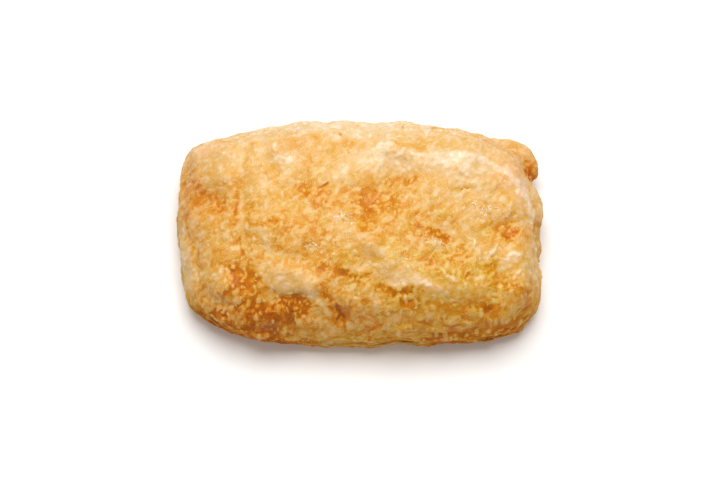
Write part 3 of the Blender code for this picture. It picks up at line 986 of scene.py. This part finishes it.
dryDough = {
    "mottle": 0.2,
    "fine": 0.12,
    "specular": 0.1,
    "scatterRadius": (1.0, 0.45, 0.15),
    "scatterDepth": 1.2,  # mm
    "bump": 0.8,
    "bumpDepth": 0.3,  # mm
}


def dryDoughMaterial(name, bits):  # the dictionary of the bits has their roughness and scatter
    material, tree, shader = newMaterial(name)
    grain = placeGroup(tree, doughGrain)
    mottle = between(tree, grain.outputs["Mottle"], dryDough["mottle"], 1)
    browning = mathNode(tree, "ADD", fieldNode(tree, "browning"), mottle)
    # the fine pale specks here are painted glints too
    fine = grain.outputs["Fine"]
    browning = times(tree, fine, dryDough["fine"], browning, clamp=True)
    shader.inputs["Roughness"].default_value = bits["roughness"]
    bakeDough(tree, shader, browning, grain.outputs["Height"], {**dryDough, **bits})
    return material


def joinedPiece(name, parts, material):  # parts are lists of places in m, faces, browning and blush
    places, faces, browning, blush = [], [], [], []
    for partPlaces, partFaces, partBrowning, partBlush in parts:
        faces += [tuple(corner + len(places) for corner in face) for face in partFaces]
        places += partPlaces
        browning += partBrowning
        blush += [partBlush] * len(partPlaces)
    mesh = bpy.data.meshes.new(name)
    mesh.from_pydata(places, [], faces)
    mesh.materials.append(material)
    storeFields(mesh, browning=np.clip(browning, 0, crust["brownest"]), blush=np.array(blush))
    mesh.shade_smooth()
    piece = placeObject(name, mesh)
    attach(piece, "root")
    print(name + ":", len(parts), "parts,", len(mesh.polygons), "faces")


def wave(along, salt, size=1.0):  # a soft random wave from -1 to 1
    return 1.6 * noise.noise((along / size + salt * 7.31, salt * 3.17, 0.5))


# The edges of the dough's layers, thin lips that follow the walls

layerEdges = {
    "spacing": 6.0,  # mm between their starts
    "share": 0.85,
    "height": (2.0, 15.5),
    "step": 0.8,
    "length": (8, 36),
    "proud": (0.3, 1.0),
    "thickness": (0.30, 0.60),
    "buried": 0.7,
    "tilt": (-16, 18),  # degrees
    "drift": 0.9,  # mm up and down
    "browning": 0.52,
    "browningLimits": (0.38, 0.74),
    "roughness": 0.6,
    "scatter": 0.4,
}


def followWall(start, height, length, salt):  # places on the wall at about one height, and the ways out
    place = Vector(start)
    places, outs = [], []
    for index in range(int(length / layerEdges["step"])):
        aim = Vector((place.x, place.y, (height + layerEdges["drift"] * wave(index, salt, 9)) * mm))
        point, normal, _, _ = crustTree.find_nearest(aim)
        out = Vector((normal.x, normal.y, 0))
        if out.length < 0.5:
            break
        out.normalize()
        if outs:
            out = (outs[-1] * 3 + out).normalized()
        places.append(Vector((point.x, point.y, aim.z)))
        outs.append(out)
        place = point + Vector((-out.y, out.x, 0)) * layerEdges["step"] * mm
    return places, outs


def doughLip(places, outs, proud, thickness, salt):  # takes its colour from the crust round it
    points, browning = [], []
    spots = np.array(places) / mm
    toasted = layerEdges["browning"] + 0.7 * zoneSum(spots, crustZones)
    toasted = np.clip(toasted, *layerEdges["browningLimits"])
    blush = float(np.clip(zoneSum(spots, crustZones, column=6).mean(), 0.2, 1))
    last = len(places) - 1
    for index, (place, out) in enumerate(zip(places, outs)):
        share = index / last
        taper = min(1.0, 5 * share, 5 * (1 - share))
        ragged = 0.72 + 0.28 * wave(index, salt, 4) + 0.25 * wave(index, salt + 3, 1.3)
        reach = proud * taper * ragged - 0.35 * (1 - taper)
        tilt = math.radians(within(layerEdges["tilt"], 0.5 + 0.5 * wave(index, salt + 1, 8)))
        outward = out * math.cos(tilt) + Vector((0, 0, math.sin(tilt)))
        upward = Vector((0, 0, math.cos(tilt))) - out * math.sin(tilt)
        half = thickness / 2 * (0.6 + 0.4 * taper)
        buried = -layerEdges["buried"]
        upper = [(buried, half), (reach * 0.6, half * 0.9)]
        section = upper + [(reach, 0)] + [(away, -up) for away, up in reversed(upper)]
        points += [tuple(place + (outward * away + upward * up) * mm) for away, up in section]
        toast = float(toasted[index]) + 0.12 * wave(index, salt + 2, 10)
        browning += [toast, toast + 0.02, toast + 0.16, toast + 0.05, toast]
    faces = [tuple(range(4, -1, -1)), tuple(range(last * 5, last * 5 + 5))]
    for first in range(0, last * 5, 5):
        for corner in range(5):
            after = (corner + 1) % 5
            faces.append((first + corner, first + after, first + 5 + after, first + 5 + corner))
    return points, faces, browning, blush


def makeLayerEdges():
    points = meshPoints(crustPiece.data)
    normals = meshNormals(crustPiece.data)
    spots, cells = scatterSpots(points, layerEdges["spacing"], 91)
    low, high = layerEdges["height"]
    wanted = (np.abs(normals[spots, 2]) < 0.5) & (points[spots, 2] > low) & (points[spots, 2] < high)
    wanted &= cellChance(cells, 92) < layerEdges["share"]
    chosen = drawn(spots, cells, wanted, (93, 94, 95))
    parts = []
    for salt, (spot, longer, further, thicker) in enumerate(chosen):
        length = within(layerEdges["length"], longer**1.5)
        proud = within(layerEdges["proud"], further**2)
        thickness = within(layerEdges["thickness"], thicker)
        places, outs = followWall((points[spot] * mm).tolist(), points[spot, 2], length, salt)
        if len(places) > 6:
            parts.append(doughLip(places, outs, proud, thickness, salt))
    joinedPiece("layerEdges", parts, dryDoughMaterial("layerEdgeDough", layerEdges))


makeLayerEdges()


# Thin flakes: curled scales in the rough patches of the glaze, and peeling bits at the edges

scales = {
    "spacing": 1.0,  # mm between them
    "share": 0.45,
    "length": (0.6, 1.5),
    "width": (0.4, 0.8),
    "thickness": 0.07,
    "lift": (2, 10),  # degrees
    "curl": 0.22,  # of the width
    "browning": (0.08, 0.53),
    "roughness": 0.5,
    "scatter": 0.0,
}
peels = {
    "thickness": 0.18,
    "browning": 0.24,
    "roughness": 0.5,
    "scatter": 0.2,
    "places": [  # place in mm, turn, length, width, lift in degrees, curl in mm
        ((33.5, 41.5, 34), 5, 5.0, 2.2, 12, 0.9),
        ((37, 41.0, 33), 20, 2.6, 1.6, 30, 0.6),
        ((79.2, -12.8, 20), 80, 2.2, 1.6, 24, 0.6),
        ((-78.5, 2, 16), 90, 4.0, 1.6, 12, 0.6),
        ((-64, -41, 14), -30, 5.0, 1.6, 10, 0.6),
        ((20, -49, 12), 0, 6.0, 1.8, 8, 0.6),
        ((56, -48, 10), 4, 5.0, 1.8, 12, 0.6),
        ((-30, 47, 16), 2, 5.0, 1.8, 10, 0.7),
        ((66, 33, 20), -40, 3.5, 1.6, 16, 0.7),
    ],
}
flakeBlush = 0.4


def flake(place, normal, turn, length, width, thickness, lift, curl, browning, salt):
    along = Vector((math.cos(turn), math.sin(turn), 0))
    along = (along - normal * along.dot(normal)).normalized()
    across = normal.cross(along)
    risen = (across * math.cos(lift) + normal * math.sin(lift)).normalized()
    upward = along.cross(risen)
    rows, columns = 6, 4
    points, shades = [], []
    for side in (1, -1):
        for row in range(rows):
            for column in range(columns):
                u = row / (rows - 1) * 2 - 1
                v = column / (columns - 1)
                ragged = 1 + 0.25 * wave(row * 1.3, salt) * v
                bend = curl * (v**2) + curl * 0.4 * u * u * v
                taper = math.sqrt(max(0.0, 1 - 0.75 * u * u))
                offset = along * u * length / 2 + risen * (v * taper * ragged * width - 0.25 * width)
                points.append(tuple(place + (offset + upward * (bend + side * thickness / 2)) * mm))
                shades.append(browning + 0.25 * v**3 + 0.06 * wave(row, salt + 5, 2))
    faces = []
    size = rows * columns
    for row in range(rows - 1):
        for column in range(columns - 1):
            corner = row * columns + column
            face = (corner, corner + columns, corner + columns + 1, corner + 1)
            faces.append(face)
            faces.append(tuple(size + face[index] for index in (0, 3, 2, 1)))
    rim = list(range(0, size, columns)) + list(range(size - columns + 1, size))
    rim += list(range(size - columns - 1, 0, -columns)) + list(range(columns - 2, 0, -1))
    for corner, after in zip(rim, rim[1:] + rim[:1]):
        faces.append((corner, size + corner, size + after, after))
    return points, faces, shades, flakeBlush


def makeScales():
    points = meshPoints(crustPiece.data)
    normals = meshNormals(crustPiece.data)
    rough = zoneSum(points, glitterPlaces) + pointNoise(points, 2.0, 5.0) * 0.6
    spots, cells = scatterSpots(points, scales["spacing"], 111)
    wanted = (rough[spots] > 0.45) & (points[spots, 2] > 20)
    wanted &= cellChance(cells, 112) < scales["share"]
    chosen = drawn(spots, cells, wanted, (113, 114, 115, 116))
    parts = []
    for salt, (spot, longer, wider, lift, turn) in enumerate(chosen):
        length = within(scales["length"], longer)
        width = within(scales["width"], wider)
        raised = math.radians(within(scales["lift"], lift))
        place = Vector((points[spot] * mm).tolist())
        parts.append(flake(
            place, Vector(normals[spot].tolist()), turn * math.tau, length, width, scales["thickness"],
            raised, scales["curl"] * width, within(scales["browning"], wider * turn), salt,
        ))
    joinedPiece("curledScales", parts, dryDoughMaterial("curledScaleGlaze", scales))


def makePeels():
    parts = []
    for salt, (place, turn, length, width, lift, curl) in enumerate(peels["places"], 900):
        point, normal, _, _ = crustTree.find_nearest(Vector(place) * mm)
        parts.append(flake(
            point, normal, math.radians(turn), length, width, peels["thickness"], math.radians(lift),
            curl, peels["browning"], salt,
        ))
    joinedPiece("peelingFlakes", parts, dryDoughMaterial("peelingFlakeDough", peels))


makeScales()
makePeels()


# The studio: floor, lights and camera

studio = {
    "floorSize": 3.0,
    "floorLevel": -0.0002,
    "floorColour": (0.90, 0.90, 0.90),
    "keyLight": ((0.03, 0.37, 1.08), 0.65, 13.5),  # place in m, size, power
    "fillLight": ((-0.5, -0.5, 0.9), 0.9, 0.65),
    "skyColour": (1.0, 0.95, 0.88),
    "skyStrength": 0.37,
    "target": (0, -0.0045, 0.02),
    "cameraElevation": 78,  # degrees
    "cameraDistance": 0.74,
    "lens": 85,
}


def makeFloor():
    mesh = bpy.data.meshes.new("studioFloor")
    half = studio["floorSize"] / 2
    corners = [(-half, -half, 0), (half, -half, 0), (half, half, 0), (-half, half, 0)]
    mesh.from_pydata(corners, [], [(0, 1, 2, 3)])
    material, _, shader = newMaterial("studioPaint")
    shader.inputs["Base Color"].default_value = (*studio["floorColour"], 1)
    shader.inputs["Roughness"].default_value = 0.8
    mesh.materials.append(material)
    floor = placeObject("studioFloor", mesh)
    floor.location.z = studio["floorLevel"]


def aimed(name, data, place):  # a light or camera that points at the target
    piece = placeObject(name, data)
    piece.location = place
    aim = Vector(studio["target"]) - Vector(place)
    piece.rotation_euler = aim.to_track_quat("-Z", "Y").to_euler()
    return piece


def addLight(name):
    place, size, power = studio[name]
    data = bpy.data.lights.new(name, "AREA")
    data.size = size
    data.energy = power
    aimed(name, data, place)


def makeStudio():
    makeFloor()
    addLight("keyLight")
    addLight("fillLight")
    world = bpy.data.worlds.new("softSky")
    world.use_nodes = True
    sky = world.node_tree.nodes["Background"]
    sky.inputs["Color"].default_value = (*studio["skyColour"], 1)
    sky.inputs["Strength"].default_value = studio["skyStrength"]
    bpy.context.scene.world = world
    data = bpy.data.cameras.new("photoCamera")
    data.lens = studio["lens"]
    high = math.radians(studio["cameraElevation"])
    away = Vector((0, -math.cos(high), math.sin(high))) * studio["cameraDistance"]
    bpy.context.scene.camera = aimed("photoCamera", data, Vector(studio["target"]) + away)
    bpy.context.scene.view_settings.view_transform = "Standard"
    print("studio ready")


makeStudio()
